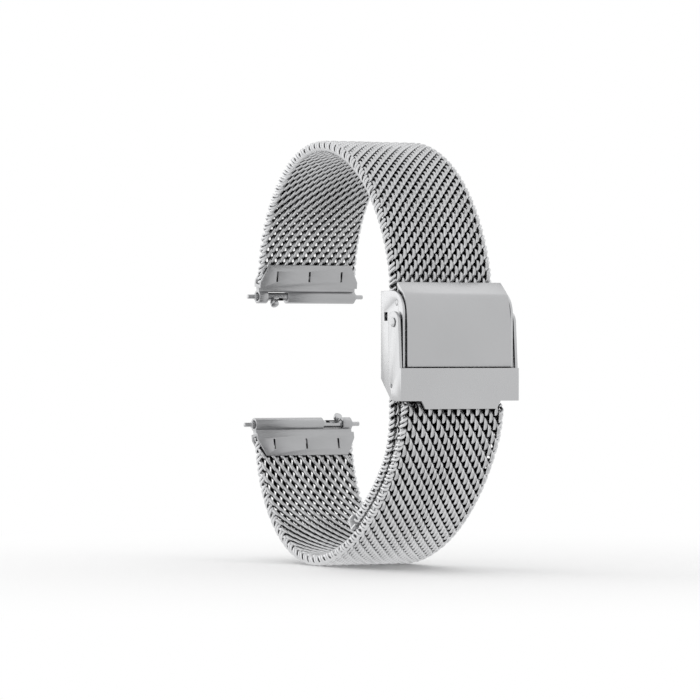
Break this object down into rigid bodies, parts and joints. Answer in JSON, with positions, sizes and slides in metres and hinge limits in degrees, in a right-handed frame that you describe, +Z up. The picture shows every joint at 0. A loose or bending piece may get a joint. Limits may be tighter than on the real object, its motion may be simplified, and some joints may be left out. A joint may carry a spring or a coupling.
{
  "type": "metal watch bracelet",
  "caption": "Woven steel watch bracelet with a sliding hook clasp, lever cover, folding safety bail and quick-release spring bars",
  "frame": {"origin": "under the middle of the closed loop, at the height of its lowest point", "axes": "+X across the band to the right of someone who faces the clasp, +Y from the clasp to the open watch end, +Z up from the short half to the long half"},
  "size_m": [0.0238, 0.0646, 0.0766],
  "materials": {
    "woven_steel": "fine woven wire, ground flat and bright",
    "folded_steel": "satin",
    "frame_steel": "polished",
    "polished_steel": "polished",
    "pin_steel": "turned and polished",
    "spring_steel": "drawn wire"
  },
  "bodies": {
    "long_end": {"long_band_end": "woven_steel", "upper_end_fitting": "folded_steel", "upper_bar_barrel": "pin_steel", "upper_bar_tip": "pin_steel", "upper_bar_spring": "spring_steel"},
    "upper_plunger": {"upper_bar_plunger": "pin_steel"},
    "long_crown": {"long_band_crown": "woven_steel"},
    "long_brow": {"long_band_brow": "woven_steel"},
    "long_front": {"long_band_front": "woven_steel", "tail_cap": "folded_steel"},
    "slider": {"slider_frame": "frame_steel", "hook_bar": "pin_steel", "cover_pin": "pin_steel", "bail_rivet_left": "pin_steel", "bail_rivet_right": "pin_steel"},
    "cover": {"cover_plate": "polished_steel"},
    "bail": {"safety_bail": "polished_steel"},
    "short_front": {"short_band_front": "woven_steel", "hook_cap": "folded_steel"},
    "short_base": {"short_band_base": "woven_steel"},
    "short_end": {"short_band_end": "woven_steel", "lower_end_fitting": "folded_steel", "lower_bar_barrel": "pin_steel", "lower_bar_tip": "pin_steel", "lower_bar_spring": "spring_steel"},
    "lower_plunger": {"lower_bar_plunger": "pin_steel"}
  },
  "joints": [
    {"name": "flex_long_a", "type": "hinge", "parent": "long_end", "child": "long_crown", "pos_m": [0, 0.01812, 0.07136], "axis": [-1, 0, 0], "range_deg": [-10, 30]},
    {"name": "flex_long_b", "type": "hinge", "parent": "long_crown", "child": "long_brow", "pos_m": [0, -0.00112, 0.07501], "axis": [-1, 0, 0], "range_deg": [-10, 30]},
    {"name": "flex_long_c", "type": "hinge", "parent": "long_brow", "child": "long_front", "pos_m": [0, -0.02385, 0.05396], "axis": [-1, 0, 0], "range_deg": [-10, 30]},
    {"name": "slider_slide", "type": "slide", "parent": "long_front", "child": "slider", "axis": [0, 0, -1], "range_m": [0, 0.005]},
    {"name": "cover_hinge", "type": "hinge", "parent": "slider", "child": "cover", "pos_m": [0, -0.02868, 0.04709], "axis": [-1, 0, 0], "range_deg": [0, 40]},
    {"name": "bail_hinge", "type": "hinge", "parent": "slider", "child": "bail", "pos_m": [0, -0.02888, 0.04369], "axis": [-1, 0, 0], "range_deg": [0, 110]},
    {"name": "hook_swing", "type": "hinge", "parent": "slider", "child": "short_front", "pos_m": [0, -0.02828, 0.03299], "axis": [-1, 0, 0], "range_deg": [0, 55]},
    {"name": "flex_short_a", "type": "hinge", "parent": "short_front", "child": "short_base", "pos_m": [0, -0.01023, 0.00596], "axis": [-1, 0, 0], "range_deg": [-4, 30]},
    {"name": "flex_short_b", "type": "hinge", "parent": "short_base", "child": "short_end", "pos_m": [0, 0.02004, 0.00497], "axis": [-1, 0, 0], "range_deg": [-10, 30]},
    {"name": "upper_release", "type": "slide", "parent": "long_end", "child": "upper_plunger", "axis": [1, 0, 0], "range_m": [0, 0.0018], "stiffness_N_per_m": 800, "springref_m": -0.001, "deforming": ["upper_bar_spring"]},
    {"name": "lower_release", "type": "slide", "parent": "short_end", "child": "lower_plunger", "axis": [-1, 0, 0], "range_m": [0, 0.0018], "stiffness_N_per_m": 800, "springref_m": -0.001, "deforming": ["lower_bar_spring"]}
  ],
  "couplings": [
    {"joint": "hook_swing", "follows": "bail_hinge", "ratio": 0.5}
  ]
}
